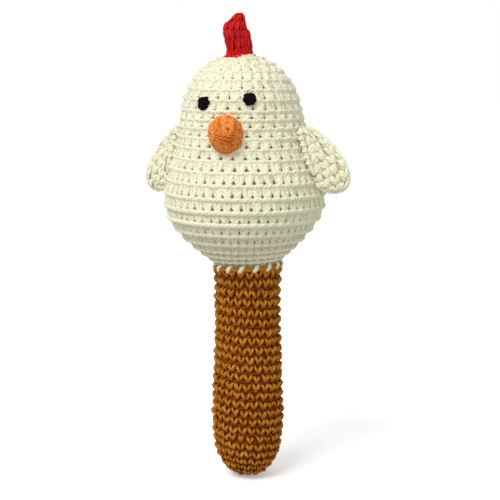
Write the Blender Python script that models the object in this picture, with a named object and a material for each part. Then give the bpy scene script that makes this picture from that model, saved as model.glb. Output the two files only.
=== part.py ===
# Crocheted hand rattle: a stuffed chicken on a stuffed handle, with a bead capsule inside the body.
# Metres, +Z from the end of the handle to the comb, the face towards -Y.
# The origin is the middle of the small flat at the end of the handle.
# The body leans a little to its own right (-X), so its pieces hang from an empty at the neck.

import math

import bmesh
import bpy
from mathutils import Matrix, Vector

# Neck, where the covers of the body and the handle are sewn together
NECK_RADIUS = 0.0137

# Handle
HANDLE_LENGTH = 0.0880
HANDLE_WAIST_RADIUS = 0.0134
HANDLE_WAIST_HEIGHT = 0.0660
HANDLE_BULGE_RADIUS = 0.0145
HANDLE_BULGE_HEIGHT = 0.0275
HANDLE_FLAT_DEPTH = 0.0005

# Body and head, worked in one piece. Heights are above the neck, along the leaning axis.
BODY_LEAN_DEG = 2.6
BELLY_RADIUS = 0.0324
BELLY_HEIGHT = 0.0287
HEAD_RADIUS = 0.0252
HEAD_HEIGHT = 0.0583
CROWN_HEIGHT = 0.0845

# The body's rounds, worked in a spiral from the crown down: how deep the grooves between them are,
# and pairs of rounds worked and the share of the outline that they have covered
ROUND_DEPTH = 0.0010
ROUND_PLAN = ((0, 0.0), (7, 0.281), (11, 0.422), (14, 0.545), (21, 0.888), (24, 1.0))

# Crocheted covers and sewing yarn
BODY_WALL = 0.0022
HANDLE_WALL = 0.0022
SEWING_YARN_RADIUS = 0.0004
NECK_YARN_RADIUS = 0.0006

# Clearances between neighbours, and between sewing yarn and what it lies on
FIT_GAP = 0.0003
SEAM_GAP = 0.00042

# Rattle capsule, a snapped plastic drum with its axis along the body
CAPSULE_RADIUS = 0.0140
CAPSULE_LENGTH = 0.0180
CAPSULE_HEIGHT = 0.0315
CAPSULE_WALL = 0.0012
CAPSULE_CORNER = 0.0020
LID_SKIRT_LENGTH = 0.0035
LID_SKIRT_WALL = 0.0010
BEAD_COUNT = 6
BEAD_RADIUS = 0.0025

# Face, turned a little from the body's front
FACE_AZIMUTH_DEG = 1.4

# Beak
BEAK_HEIGHT = 0.0545
BEAK_TILT_DEG = 26.0
BEAK_RADIUS = 0.0068
BEAK_LENGTH = 0.0074
BEAK_WALL = 0.0016

# Eyes
LEFT_EYE_HEIGHT = 0.0675
RIGHT_EYE_HEIGHT = 0.0665
EYE_SPREAD_DEG = 23.3
EYE_RADIUS = 0.0026
EYE_RISE = 0.0016

# Wings, each sewn on along a straight seam that is also its hinge line
LEFT_WING_AZIMUTH_DEG = 85.0
RIGHT_WING_AZIMUTH_DEG = 97.0
LEFT_WING_SEAM_TOP = 0.0528
RIGHT_WING_SEAM_TOP = 0.0540
WING_SEAM_LENGTH = 0.0120
WING_LENGTH = 0.0282
WING_WIDTH = 0.0113
WING_HALF_THICKNESS = 0.0027

# Comb, sewn on along the crown from front to back
COMB_LENGTH = 0.0190
COMB_RISE = 0.0157
COMB_HALF_THICKNESS = 0.0032
COMB_BACK_SHIFT = 0.0005
COMB_TWIST_DEG = 11.0
COMB_SEAM_LENGTH = 0.0148

# Whip stitches round the neck
NECK_STITCHES = 17
NECK_STITCH_HEIGHT = 0.0022
NECK_STITCH_DROP = 0.0012

# Shapes of the curves, each pair being shares of the sizes above
DOME_SHARES = ((0.381, 0.947), (0.698, 0.725), (0.905, 0.382))
FLANK_SHARES = ((0.306, 0.652), (0.722, 0.348))
BOWL_SHARES = ((0.946, 0.737), (0.715, 0.498), (0.375, 0.268), (0.100, 0.080))
HANDLE_END_SHARES = ((0.973, 0.614), (0.849, 0.333), (0.562, 0.109), (0.274, 0.030))
BEAK_SHAPE = ((0.00, 1.00), (0.54, 0.955), (0.79, 0.70), (1.00, 0.25))
EYE_SHAPE = ((0.00, 1.00), (0.62, 0.80), (1.00, 0.10))
WING_SHAPE = ((0.12, 0.00), (0.54, 0.12), (0.84, 0.36), (1.00, 0.62), (1.00, 0.81), (0.78, 0.94),
              (0.38, 1.00), (0.09, 0.91), (0.00, 0.70), (0.00, 0.40), (0.00, 0.10))
COMB_SHAPE = ((-0.50, 0.12), (-0.54, 0.58), (-0.40, 0.80), (-0.20, 0.78), (-0.08, 0.95), (0.10, 1.00),
              (0.24, 0.84), (0.29, 0.66), (0.41, 0.58), (0.50, 0.42), (0.48, 0.24), (0.56, 0.06))

# Shares of the wing's length: above the seam's top, and down to where its inner edge leaves the body
WING_TOP_SHARE = 0.04
WING_EDGE_SHARE = 0.75

# Share of the comb's length that stands on the crown, and of a neck stitch's room that its slant takes
COMB_FOOT_SHARE = 0.84
NECK_SLANT_SHARE = 0.42

# Rings of a padded flap, as shares of the way from its middle to its rim
FLAP_RINGS = (0.0, 0.40, 0.72, 0.92)

# Rounds that show as a ridge: where the first begins, how many follow, and how far under each groove
# the ridge stands highest. The rounds above and below them are plain, with a ring at each of the last two.
RIDGE_START = 3.5
RIDGE_ROUNDS = 18
RIDGE_SHARE = 0.35
PLAIN_ABOVE = 1.9
PLAIN_BELOW = 22.6

# Sides of the turned pieces, and rings for each span of an outline
BODY_SIDES = 24
CUTTER_SIDES = 36
HANDLE_SIDES = 32
FILL_SIDES = 28
CAPSULE_SIDES = 28
BEAK_SIDES = 20
EYE_SIDES = 12
OUTER_RINGS = 2
INNER_RINGS = 1
SMALL_RINGS = 3
FINE_RINGS = 30

# Accuracy of the meshes and of the places found on the body's outline
MERGE_DISTANCE = 1e-6
SHARP_ANGLE_DEG = 50.0
HALVINGS = 30
SLOPE_REACH = 0.0014


def clear_scene():
    for thing in list(bpy.data.objects):
        bpy.data.objects.remove(thing, do_unlink=True)


def make_material(name, colour, roughness):
    material = bpy.data.materials.new(name)
    material.use_nodes = True
    shader = material.node_tree.nodes["Principled BSDF"]
    shader.inputs["Base Color"].default_value = (*colour, 1.0)
    shader.inputs["Roughness"].default_value = roughness
    shader.inputs["Metallic"].default_value = 0.0
    return material


def make_materials():
    return {
        "cream": make_material("cream_yarn", (0.80, 0.76, 0.60), 0.95),
        "brown": make_material("golden_brown_yarn", (0.38, 0.17, 0.035), 0.95),
        "red": make_material("red_yarn", (0.50, 0.012, 0.018), 0.9),
        "orange": make_material("orange_yarn", (0.75, 0.24, 0.06), 0.9),
        "black": make_material("black_yarn", (0.006, 0.006, 0.008), 0.85),
        "filling": make_material("polyester_filling", (0.85, 0.85, 0.83), 1.0),
        "plastic": make_material("capsule_plastic", (0.80, 0.82, 0.84), 0.35),
        "bead": make_material("bead_plastic", (0.20, 0.35, 0.60), 0.3),
    }


def put_in_scene(name, data, material, parent, matrix):
    piece = bpy.data.objects.new(name, data)
    bpy.context.collection.objects.link(piece)
    if material is not None:
        data.materials.append(material)
    piece.parent = parent
    piece.matrix_local = matrix
    return piece


def finish_mesh(bm, name):
    bmesh.ops.remove_doubles(bm, verts=bm.verts, dist=MERGE_DISTANCE)
    bmesh.ops.recalc_face_normals(bm, faces=bm.faces)
    mesh = bpy.data.meshes.new(name)
    bm.to_mesh(mesh)
    bm.free()
    mesh.shade_smooth()
    mesh.set_sharp_from_angle(angle=math.radians(SHARP_ANGLE_DEG))
    return mesh


def smooth_curve(points, steps, closed=False):
    """Centripetal spline through the points. An end on the axis meets it square."""
    points = [Vector(point) for point in points]
    if closed:
        chain = [points[-1]] + points + points[:2]
    else:
        before = Vector((-points[1].x, points[1].y)) if points[0].x == 0.0 else 2 * points[0] - points[1]
        after = Vector((-points[-2].x, points[-2].y)) if points[-1].x == 0.0 else 2 * points[-1] - points[-2]
        chain = [before] + points + [after]
    curve = []
    for a, b, c, d in zip(chain, chain[1:], chain[2:], chain[3:]):
        t0 = 0.0
        t1 = t0 + math.sqrt((b - a).length)
        t2 = t1 + math.sqrt((c - b).length)
        t3 = t2 + math.sqrt((d - c).length)
        for step in range(steps):
            t = t1 + (t2 - t1) * step / steps
            ab = a.lerp(b, (t - t0) / (t1 - t0))
            bc = b.lerp(c, (t - t1) / (t2 - t1))
            cd = c.lerp(d, (t - t2) / (t3 - t2))
            abc = ab.lerp(bc, (t - t0) / (t2 - t0))
            bcd = bc.lerp(cd, (t - t1) / (t3 - t1))
            curve.append(abc.lerp(bcd, (t - t1) / (t2 - t1)))
    if not closed:
        curve.append(points[-1])
    return curve


def body_outline(steps):
    """Outer outline of the body and head, from the crown down to the neck."""
    dome = [(r * HEAD_RADIUS, HEAD_HEIGHT + z * (CROWN_HEIGHT - HEAD_HEIGHT)) for r, z in DOME_SHARES]
    flank = [(HEAD_RADIUS + r * (BELLY_RADIUS - HEAD_RADIUS), BELLY_HEIGHT + z * (HEAD_HEIGHT - BELLY_HEIGHT))
             for r, z in FLANK_SHARES]
    bowl = [(NECK_RADIUS + r * (BELLY_RADIUS - NECK_RADIUS), z * BELLY_HEIGHT) for r, z in BOWL_SHARES]
    stations = [(0.0, CROWN_HEIGHT), *dome, (HEAD_RADIUS, HEAD_HEIGHT), *flank, (BELLY_RADIUS, BELLY_HEIGHT),
                *bowl, (NECK_RADIUS, 0.0)]
    return smooth_curve(stations, steps)


def handle_outline(steps):
    """Outer outline of the handle, from the neck down to the axis under its flat."""
    end = [(r * HANDLE_BULGE_RADIUS, z * (HANDLE_BULGE_HEIGHT + HANDLE_FLAT_DEPTH) - HANDLE_FLAT_DEPTH)
           for r, z in HANDLE_END_SHARES]
    stations = [(NECK_RADIUS, HANDLE_LENGTH), (HANDLE_WAIST_RADIUS, HANDLE_WAIST_HEIGHT),
                (HANDLE_BULGE_RADIUS, HANDLE_BULGE_HEIGHT), *end, (0.0, -HANDLE_FLAT_DEPTH)]
    return smooth_curve(stations, steps)


def cut_below(curve, height):
    """Drops what lies under a height and closes the outline with a flat there."""
    kept = [point for point in curve if point.y > height]
    under = curve[len(kept)]
    share = (kept[-1].y - height) / (kept[-1].y - under.y)
    return kept + [Vector((kept[-1].lerp(under, share).x, height)), Vector((0.0, height))]


def offset_curve(curve, distance):
    """Moves an outline that runs from top to bottom sideways, outwards when positive."""
    moved = []
    for index, point in enumerate(curve):
        ahead = curve[min(index + 1, len(curve) - 1)]
        behind = curve[max(index - 1, 0)]
        along = (ahead - behind).normalized()
        shifted = point + Vector((-along.y, along.x)) * distance
        moved.append(Vector((0.0, point.y + distance)) if point.x == 0.0 and index == 0 else shifted)
    return moved


def radius_at(curve, height):
    """Radius of an outline at one height, read between its points."""
    for upper, lower in zip(curve, curve[1:]):
        if lower.y <= height <= upper.y:
            share = (upper.y - height) / (upper.y - lower.y)
            return upper.lerp(lower, share).x
    return 0.0


def turned(name, outline, sides, material, parent, matrix=Matrix()):
    """Turns an outline, in radius and height, round the Z axis into one closed solid."""
    bm = bmesh.new()
    verts = [bm.verts.new((max(point[0], 0.0), 0.0, point[1])) for point in outline]
    edges = [bm.edges.new(pair) for pair in zip(verts, verts[1:])]
    bmesh.ops.spin(bm, geom=verts + edges, cent=(0.0, 0.0, 0.0), axis=(0.0, 0.0, 1.0),
                   angle=math.tau, steps=sides, use_merge=True)
    return put_in_scene(name, finish_mesh(bm, name), material, parent, matrix)


def tilt_top(piece, lean):
    """Slopes the upper end of a handle piece so that it meets the leaning body."""
    for vertex in piece.data.vertices:
        share = max(0.0, vertex.co.z / HANDLE_LENGTH) ** 3
        vertex.co.z += vertex.co.x * math.sin(lean) * share


def padded_flap(name, outline, half_thickness, material, parent, matrix):
    """A flat pad in the XZ plane with full, rounded faces and a thin rim."""
    middle = sum(outline, Vector((0.0, 0.0))) / len(outline)
    bm = bmesh.new()
    rim = [bm.verts.new((point.x, 0.0, point.y)) for point in outline]
    for side in (-1.0, 1.0):
        outer = rim
        for share in reversed(FLAP_RINGS):
            rise = side * half_thickness * math.sqrt(1.0 - share ** 3)
            if share == 0.0:
                tip = bm.verts.new((middle.x, rise, middle.y))
                for index in range(len(outer)):
                    bm.faces.new((outer[index - 1], outer[index], tip))
                break
            inner = []
            for point in outline:
                place = middle.lerp(point, share)
                inner.append(bm.verts.new((place.x, rise, place.y)))
            for index in range(len(outer)):
                bm.faces.new((outer[index - 1], outer[index], inner[index], inner[index - 1]))
            outer = inner
    return put_in_scene(name, finish_mesh(bm, name), material, parent, matrix)


def strand(name, points, radius, closed, material, parent):
    """A length of sewing yarn as a round tube along the points."""
    curve = bpy.data.curves.new(name, "CURVE")
    curve.dimensions = "3D"
    curve.bevel_depth = radius
    curve.bevel_resolution = 1
    curve.use_fill_caps = True
    spline = curve.splines.new("POLY")
    spline.points.add(len(points) - 1)
    for spot, point in zip(spline.points, points):
        spot.co = (*point, 1.0)
    spline.use_cyclic_u = closed
    return put_in_scene(name, curve, material, parent, Matrix())


def as_cutter(piece):
    piece.hide_render = True
    piece.display_type = "WIRE"
    return piece


def cut_by(piece, cutter):
    modifier = piece.modifiers.new("cut", "BOOLEAN")
    modifier.operation = "DIFFERENCE"
    modifier.solver = "EXACT"
    modifier.object = cutter


def make_handle(lean, materials):
    outer = cut_below(handle_outline(OUTER_RINGS), 0.0)
    inner = cut_below(offset_curve(handle_outline(INNER_RINGS), -HANDLE_WALL), HANDLE_WALL)
    inner[0].y = HANDLE_LENGTH
    cover = turned("handle_cover", inner[::-1] + outer, HANDLE_SIDES, materials["brown"], None)
    tilt_top(cover, lean)
    depth = HANDLE_WALL + FIT_GAP
    fill = cut_below(offset_curve(handle_outline(INNER_RINGS), -depth), depth)
    fill[0].y = HANDLE_LENGTH
    fill.insert(0, Vector((0.0, HANDLE_LENGTH)))
    wad = turned("handle_filling", fill, FILL_SIDES, materials["filling"], None)
    tilt_top(wad, lean)


def outline_share(rounds):
    """Share of the body's outline that a number of rounds from the crown has covered."""
    for (few, start), (many, end) in zip(ROUND_PLAN, ROUND_PLAN[1:]):
        if rounds <= many:
            return start + (end - start) * (rounds - few) / (many - few)
    return 1.0


def spot_on(curve, share, depth):
    """Point at a share of an outline's length from its top, moved inwards by a depth."""
    lengths = [(b - a).length for a, b in zip(curve, curve[1:])]
    left = share * sum(lengths)
    for start, end, length in zip(curve, curve[1:], lengths):
        if left <= length:
            break
        left -= length
    along = (end - start).normalized()
    return start + along * min(left, length) + Vector((along.y, -along.x)) * depth


def band(bm, above, below):
    """Faces between two rows of points, one under the other."""
    for corners in zip(above, above[1:], below[1:], below):
        bm.faces.new(corners)


def cap(bm, height, ring):
    tip = bm.verts.new((0.0, 0.0, height))
    for index in range(len(ring)):
        bm.faces.new((tip, ring[index - 1], ring[index]))


def make_body_cover(body, materials):
    """Shell with a smooth inside. Outside, its rounds make one ridge that runs down in a spiral."""
    outline = body_outline(FINE_RINGS)
    bm = bmesh.new()

    def on_round(rounds, depth=0.0):
        return spot_on(outline, outline_share(rounds), depth)

    def place(step, spot):
        # steps run from the back towards the toy's own right
        angle = math.tau * step / BODY_SIDES
        return bm.verts.new((-spot.x * math.sin(angle), spot.x * math.cos(angle), spot.y))

    def ring(spot):
        return [place(step, spot) for step in range(BODY_SIDES)]

    # the ridge: one row of points along its groove and one along its crest
    last = RIDGE_ROUNDS * BODY_SIDES
    grooves = [place(step, on_round(RIDGE_START + step / BODY_SIDES, ROUND_DEPTH))
               for step in range(1, last + 1)]
    crests = [place(step, on_round(RIDGE_START + RIDGE_SHARE + step / BODY_SIDES)) for step in range(last)]
    band(bm, grooves[:-1], crests[1:])
    band(bm, crests[:last - BODY_SIDES + 1], grooves[BODY_SIDES - 1:])

    # the plain crown, and the step where the ridge begins
    above = ring(on_round(PLAIN_ABOVE))
    cap(bm, CROWN_HEIGHT, above)
    band(bm, above[1:] + above[:1], grooves[:BODY_SIDES])
    bm.faces.new((above[0], above[1], grooves[0], crests[0]))
    bm.faces.new((crests[0], grooves[0], crests[1]))
    bm.faces.new((above[0], crests[0], grooves[BODY_SIDES - 1]))

    # plain rings down to the neck and up the inside, and the step where the ridge ends
    inner = offset_curve(body_outline(INNER_RINGS), -BODY_WALL)
    inner = [spot for spot in inner if spot.y > BODY_WALL] + [Vector((NECK_RADIUS - BODY_WALL, 0.0))]
    rings = [ring(on_round(PLAIN_BELOW)), ring(outline[-1])] + [ring(spot) for spot in inner[:0:-1]]
    for upper, lower in zip(rings, rings[1:]):
        band(bm, upper + upper[:1], lower + lower[:1])
    cap(bm, inner[0].y, rings[-1])
    below = rings[0]
    band(bm, crests[-BODY_SIDES:], below)
    bm.faces.new((grooves[-2], grooves[-1], crests[-1]))
    bm.faces.new((crests[-1], grooves[-1], below[0], below[-1]))
    bm.faces.new((grooves[-1], crests[-BODY_SIDES], below[0]))
    bmesh.ops.triangulate(bm, faces=bm.faces)
    put_in_scene("body_cover", finish_mesh(bm, "body_cover"), materials["cream"], body, Matrix())


def make_body_filling(body, materials):
    """Two wads of fibre that meet at the middle of the capsule and hold it between them."""
    depth = BODY_WALL + FIT_GAP
    outline = [point for point in offset_curve(body_outline(INNER_RINGS), -depth) if point.y > depth]
    half_gap = FIT_GAP / 2
    pocket_radius = CAPSULE_RADIUS + FIT_GAP
    pocket_top = CAPSULE_HEIGHT + CAPSULE_LENGTH / 2 + FIT_GAP
    pocket_floor = CAPSULE_HEIGHT - CAPSULE_LENGTH / 2 - FIT_GAP
    split = CAPSULE_HEIGHT + half_gap
    upper = [point for point in outline if point.y > split + half_gap]
    upper += [Vector((radius_at(outline, split), split)), Vector((pocket_radius, split)),
              Vector((pocket_radius, pocket_top)), Vector((0.0, pocket_top))]
    turned("body_filling_upper", upper, BODY_SIDES, materials["filling"], body)
    split = CAPSULE_HEIGHT - half_gap
    lower = [Vector((0.0, pocket_floor)), Vector((pocket_radius, pocket_floor)), Vector((pocket_radius, split)),
             Vector((radius_at(outline, split), split))]
    lower += [point for point in outline if point.y < split - half_gap]
    lower += [Vector((NECK_RADIUS - depth, 0.0)), Vector((0.0, 0.0))]
    turned("body_filling_lower", lower, BODY_SIDES, materials["filling"], body)


def make_capsule(body, materials):
    """A cup and a lid whose skirt snaps inside the cup."""
    floor = CAPSULE_HEIGHT - CAPSULE_LENGTH / 2
    top = CAPSULE_HEIGHT + CAPSULE_LENGTH / 2
    rim = top - CAPSULE_WALL - CAPSULE_CORNER - FIT_GAP
    bore = CAPSULE_RADIUS - CAPSULE_WALL
    cup = [(0.0, floor), (CAPSULE_RADIUS - CAPSULE_CORNER, floor), (CAPSULE_RADIUS, floor + CAPSULE_CORNER),
           (CAPSULE_RADIUS, rim), (bore, rim), (bore, floor + CAPSULE_WALL), (0.0, floor + CAPSULE_WALL)]
    turned("rattle_cup", cup, CAPSULE_SIDES, materials["plastic"], body)
    skirt = bore - FIT_GAP
    flange = rim + FIT_GAP
    under = top - CAPSULE_WALL
    lid = [(0.0, top), (CAPSULE_RADIUS - CAPSULE_CORNER, top), (CAPSULE_RADIUS, top - CAPSULE_CORNER),
           (CAPSULE_RADIUS, flange), (skirt, flange), (skirt, flange - LID_SKIRT_LENGTH),
           (skirt - LID_SKIRT_WALL, flange - LID_SKIRT_LENGTH), (skirt - LID_SKIRT_WALL, under), (0.0, under)]
    turned("rattle_lid", lid, CAPSULE_SIDES, materials["plastic"], body)


def make_beads(body, materials):
    """Loose beads in a ring on the cup's floor, just clear of the lid's skirt when they are thrown up."""
    rest = CAPSULE_HEIGHT - CAPSULE_LENGTH / 2 + CAPSULE_WALL + FIT_GAP + BEAD_RADIUS
    ring = CAPSULE_RADIUS - CAPSULE_WALL - FIT_GAP - LID_SKIRT_WALL - FIT_GAP - BEAD_RADIUS
    for number in range(BEAD_COUNT):
        angle = math.tau * number / BEAD_COUNT
        bm = bmesh.new()
        bmesh.ops.create_icosphere(bm, subdivisions=2, radius=BEAD_RADIUS)
        name = f"bead_{number + 1}"
        place = (ring * math.cos(angle), ring * math.sin(angle), rest)
        put_in_scene(name, finish_mesh(bm, name), materials["bead"], body, Matrix.Translation(place))


def surface_frame(outline, azimuth_deg, height, tilt_deg):
    """Frame on the body whose Z axis points away from it, at an azimuth from the body's front."""
    azimuth = math.radians(azimuth_deg)
    radius = radius_at(outline, height)
    place = Matrix.Translation((radius * math.sin(azimuth), -radius * math.cos(azimuth), height))
    return place @ Matrix.Rotation(azimuth, 4, "Z") @ Matrix.Rotation(math.radians(90.0 - tilt_deg), 4, "X")


def slope_deg(outline, height):
    """How far the body's surface faces upwards at one height."""
    change = radius_at(outline, height - SLOPE_REACH) - radius_at(outline, height + SLOPE_REACH)
    return math.degrees(math.atan2(change, 2 * SLOPE_REACH))


def make_beak(body, outline, cutter, materials):
    """A stuffed cap that points a little upwards, its root cut to the face."""
    frame = surface_frame(outline, FACE_AZIMUTH_DEG, BEAK_HEIGHT, BEAK_TILT_DEG)
    root = -BEAK_RADIUS
    outside = [(r * BEAK_RADIUS, z * BEAK_LENGTH) for r, z in BEAK_SHAPE]
    outside = smooth_curve(outside + [(BEAK_RADIUS, root)], SMALL_RINGS)
    inside = offset_curve(outside, -BEAK_WALL)
    inside[-1].y = root
    cover = turned("beak_cover", outside + inside[::-1], BEAK_SIDES, materials["orange"], body, frame)
    cut_by(cover, cutter)
    plug = offset_curve(outside, -BEAK_WALL - FIT_GAP)
    plug[-1].y = root
    plug.append(Vector((0.0, root)))
    filling = turned("beak_filling", plug, BEAK_SIDES, materials["filling"], body, frame)
    cut_by(filling, cutter)
    make_beak_stitches(body, outline, frame, materials)


def make_beak_stitches(body, outline, frame, materials):
    """A ring of sewing yarn in the corner between the beak and the face."""
    lift = SEAM_GAP + SEWING_YARN_RADIUS
    ring = BEAK_RADIUS + lift
    points = []
    for index in range(BEAK_SIDES):
        angle = math.tau * index / BEAK_SIDES
        low, high = -BEAK_RADIUS, BEAK_LENGTH
        for _ in range(HALVINGS):
            middle = (low + high) / 2
            spot = frame @ Vector((ring * math.cos(angle), ring * math.sin(angle), middle))
            outside = math.hypot(spot.x, spot.y) - radius_at(outline, spot.z) > lift
            low, high = (low, middle) if outside else (middle, high)
        points.append(frame @ Vector((ring * math.cos(angle), ring * math.sin(angle), high)))
    strand("beak_stitches", points, SEWING_YARN_RADIUS, True, materials["orange"], body)


def make_eyes(body, outline, cutter, materials):
    dome = [(r * EYE_RADIUS, z * EYE_RISE) for r, z in EYE_SHAPE]
    dome = smooth_curve(dome + [(EYE_RADIUS, -EYE_RISE)], OUTER_RINGS)
    dome.append(Vector((0.0, -EYE_RISE)))
    for name, side, height in (("left_eye", 1.0, LEFT_EYE_HEIGHT), ("right_eye", -1.0, RIGHT_EYE_HEIGHT)):
        azimuth_deg = FACE_AZIMUTH_DEG + side * EYE_SPREAD_DEG
        frame = surface_frame(outline, azimuth_deg, height, slope_deg(outline, height))
        eye = turned(name, dome, EYE_SIDES, materials["black"], body, frame)
        cut_by(eye, cutter)


def wing_hinge(outline, seam_top):
    """Frame of a wing's hinge line before its turn round the body: origin at the top, Z up the line."""
    low_height = seam_top - WING_LENGTH * WING_EDGE_SHARE
    top = Vector((radius_at(outline, seam_top), seam_top))
    low = Vector((radius_at(outline, low_height), low_height))
    down = (low - top).normalized()
    away = Vector((-down.y, down.x))
    bulge = max((point - top).dot(away) for point in outline if low_height <= point.y <= seam_top)
    place = top + away * (max(bulge, 0.0) + FIT_GAP + SEWING_YARN_RADIUS)
    tilt = math.atan2(down.x, -down.y)
    return Matrix.Translation((place.x, 0.0, place.y)) @ Matrix.Rotation(-tilt, 4, "Y")


def make_wings(body, outline, materials):
    gap = SEAM_GAP + SEWING_YARN_RADIUS
    shape = [(gap + x * WING_WIDTH, (WING_TOP_SHARE - z) * WING_LENGTH) for x, z in WING_SHAPE]
    pad = smooth_curve(shape, SMALL_RINGS, closed=True)
    for name, azimuth_deg, seam_top in (("left_wing", LEFT_WING_AZIMUTH_DEG, LEFT_WING_SEAM_TOP),
                                        ("right_wing", -RIGHT_WING_AZIMUTH_DEG, RIGHT_WING_SEAM_TOP)):
        turn = Matrix.Rotation(math.radians(azimuth_deg - 90.0), 4, "Z")
        frame = turn @ wing_hinge(outline, seam_top)
        padded_flap(name, pad, WING_HALF_THICKNESS, materials["cream"], body, frame)
        seam = [frame @ Vector((0.0, 0.0, -WING_SEAM_LENGTH * step / 4)) for step in range(5)]
        strand(name + "_stitches", seam, SEWING_YARN_RADIUS, False, materials["cream"], body)


def comb_base(outline, along):
    """Height of the seam's middle line over the crown, at a distance along the comb."""
    reach = abs(along + COMB_BACK_SHIFT)
    low, high = HEAD_HEIGHT, CROWN_HEIGHT
    for _ in range(HALVINGS):
        middle = (low + high) / 2
        inside = radius_at(outline, middle) > reach
        low, high = (middle, high) if inside else (low, middle)
    return low + FIT_GAP + SEWING_YARN_RADIUS


def make_comb(body, outline, materials):
    """An upright flap of three lobes whose foot follows the crown."""
    gap = SEAM_GAP + SEWING_YARN_RADIUS
    axis_height = CROWN_HEIGHT + FIT_GAP + SEWING_YARN_RADIUS
    crest = [(along * COMB_LENGTH, rise * COMB_RISE) for along, rise in COMB_SHAPE]
    foot = []
    for step in range(5):
        along = (0.5 - step / 4) * COMB_FOOT_SHARE * COMB_LENGTH
        foot.append((along, comb_base(outline, along) + gap - axis_height))
    pad = smooth_curve(crest + foot, OUTER_RINGS, closed=True)
    twist = Matrix.Rotation(math.radians(-COMB_TWIST_DEG), 4, "Z")
    place = Matrix.Translation((0.0, COMB_BACK_SHIFT, axis_height))
    frame = twist @ place @ Matrix.Rotation(math.radians(90.0), 4, "Z")
    padded_flap("comb", pad, COMB_HALF_THICKNESS, materials["red"], body, frame)
    line = []
    for step in range(7):
        along = (step / 6 - 0.5) * COMB_SEAM_LENGTH
        line.append(twist @ Vector((0.0, along + COMB_BACK_SHIFT, comb_base(outline, along))))
    strand("comb_stitches", line, SEWING_YARN_RADIUS, False, materials["red"], body)


def clear_radius(outlines, height, distance):
    """Smallest radius at one height that keeps a distance from every point of the outlines."""
    widest = 0.0
    for point in outlines:
        rise = abs(point.y - height)
        if rise < distance:
            widest = max(widest, point.x + math.sqrt(distance ** 2 - rise ** 2))
    return widest


def make_neck_stitches(body, materials):
    """Whip stitches over the joint of the covers, in one length of yarn."""
    handle = [Vector((point.x, point.y - HANDLE_LENGTH - FIT_GAP)) for point in handle_outline(FINE_RINGS)]
    outlines = body_outline(FINE_RINGS) + handle
    points = []
    for stitch in range(NECK_STITCHES):
        for share, rise in ((0.0, -0.5), (NECK_SLANT_SHARE, 0.5)):
            angle = math.tau * (stitch + share) / NECK_STITCHES
            height = rise * NECK_STITCH_HEIGHT - NECK_STITCH_DROP
            radius = clear_radius(outlines, height, SEAM_GAP + NECK_YARN_RADIUS)
            points.append((radius * math.cos(angle), radius * math.sin(angle), height))
    strand("neck_stitches", points, NECK_YARN_RADIUS, True, materials["cream"], body)


def main():
    clear_scene()
    materials = make_materials()
    lean = math.radians(BODY_LEAN_DEG)
    make_handle(lean, materials)

    body = bpy.data.objects.new("body_axis", None)
    bpy.context.collection.objects.link(body)
    body.matrix_local = Matrix.Translation((0.0, 0.0, HANDLE_LENGTH + FIT_GAP)) @ Matrix.Rotation(-lean, 4, "Y")

    outline = body_outline(FINE_RINGS)
    solid = offset_curve(body_outline(SMALL_RINGS), FIT_GAP)
    solid.append(Vector((0.0, 0.0)))
    cutter = as_cutter(turned("body_cutter", solid, CUTTER_SIDES, None, body))
    make_body_cover(body, materials)
    make_body_filling(body, materials)
    make_capsule(body, materials)
    make_beads(body, materials)
    make_beak(body, outline, cutter, materials)
    make_eyes(body, outline, cutter, materials)
    make_wings(body, outline, materials)
    make_comb(body, outline, materials)
    make_neck_stitches(body, materials)


main()
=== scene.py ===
# Crocheted chicken rattle: yarn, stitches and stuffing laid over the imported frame.
# Dictionaries hold millimetres and degrees, meshes are in metres.
import math

import bpy
import numpy as np
from mathutils import Matrix, Vector


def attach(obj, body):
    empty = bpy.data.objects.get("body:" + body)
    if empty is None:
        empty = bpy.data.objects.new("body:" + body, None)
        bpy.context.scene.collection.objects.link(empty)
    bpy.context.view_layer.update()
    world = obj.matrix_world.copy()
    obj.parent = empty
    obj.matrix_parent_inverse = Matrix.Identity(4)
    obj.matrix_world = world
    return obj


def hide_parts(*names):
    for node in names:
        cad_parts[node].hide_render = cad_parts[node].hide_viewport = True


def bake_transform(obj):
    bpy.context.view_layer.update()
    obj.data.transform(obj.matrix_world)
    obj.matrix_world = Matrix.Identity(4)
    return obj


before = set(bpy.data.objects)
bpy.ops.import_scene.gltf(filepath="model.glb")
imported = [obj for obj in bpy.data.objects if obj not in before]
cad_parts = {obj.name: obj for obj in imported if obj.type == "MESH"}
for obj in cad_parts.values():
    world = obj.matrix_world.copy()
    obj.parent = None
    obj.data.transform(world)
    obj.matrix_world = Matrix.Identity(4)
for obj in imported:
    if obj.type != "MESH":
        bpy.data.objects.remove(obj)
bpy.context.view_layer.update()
mm = 0.001
print("frame loaded,", len(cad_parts), "nodes")


def deselectAll():
    bpy.ops.object.select_all(action="DESELECT")


def editAll():
    bpy.ops.object.mode_set(mode="EDIT")
    bpy.ops.mesh.select_all(action="SELECT")


def endEdit():
    bpy.ops.mesh.normals_make_consistent(inside=False)
    bpy.ops.object.mode_set(mode="OBJECT")


def takeMesh(piece):
    # the points and faces of a piece that was only a step to another one, which goes
    verts = np.array([vertex.co for vertex in piece.data.vertices])
    faces = [list(face.vertices) for face in piece.data.polygons]
    bpy.data.objects.remove(piece, do_unlink=True)
    return verts, faces


def inOrder(verts, faces):
    # the points and faces in a fixed order, which extruding doesn't keep
    order = np.lexsort(np.round(verts, 3).T)
    rank = np.argsort(order)
    return verts[order], sorted((rank[face].tolist() for face in faces), key=sorted)


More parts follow.
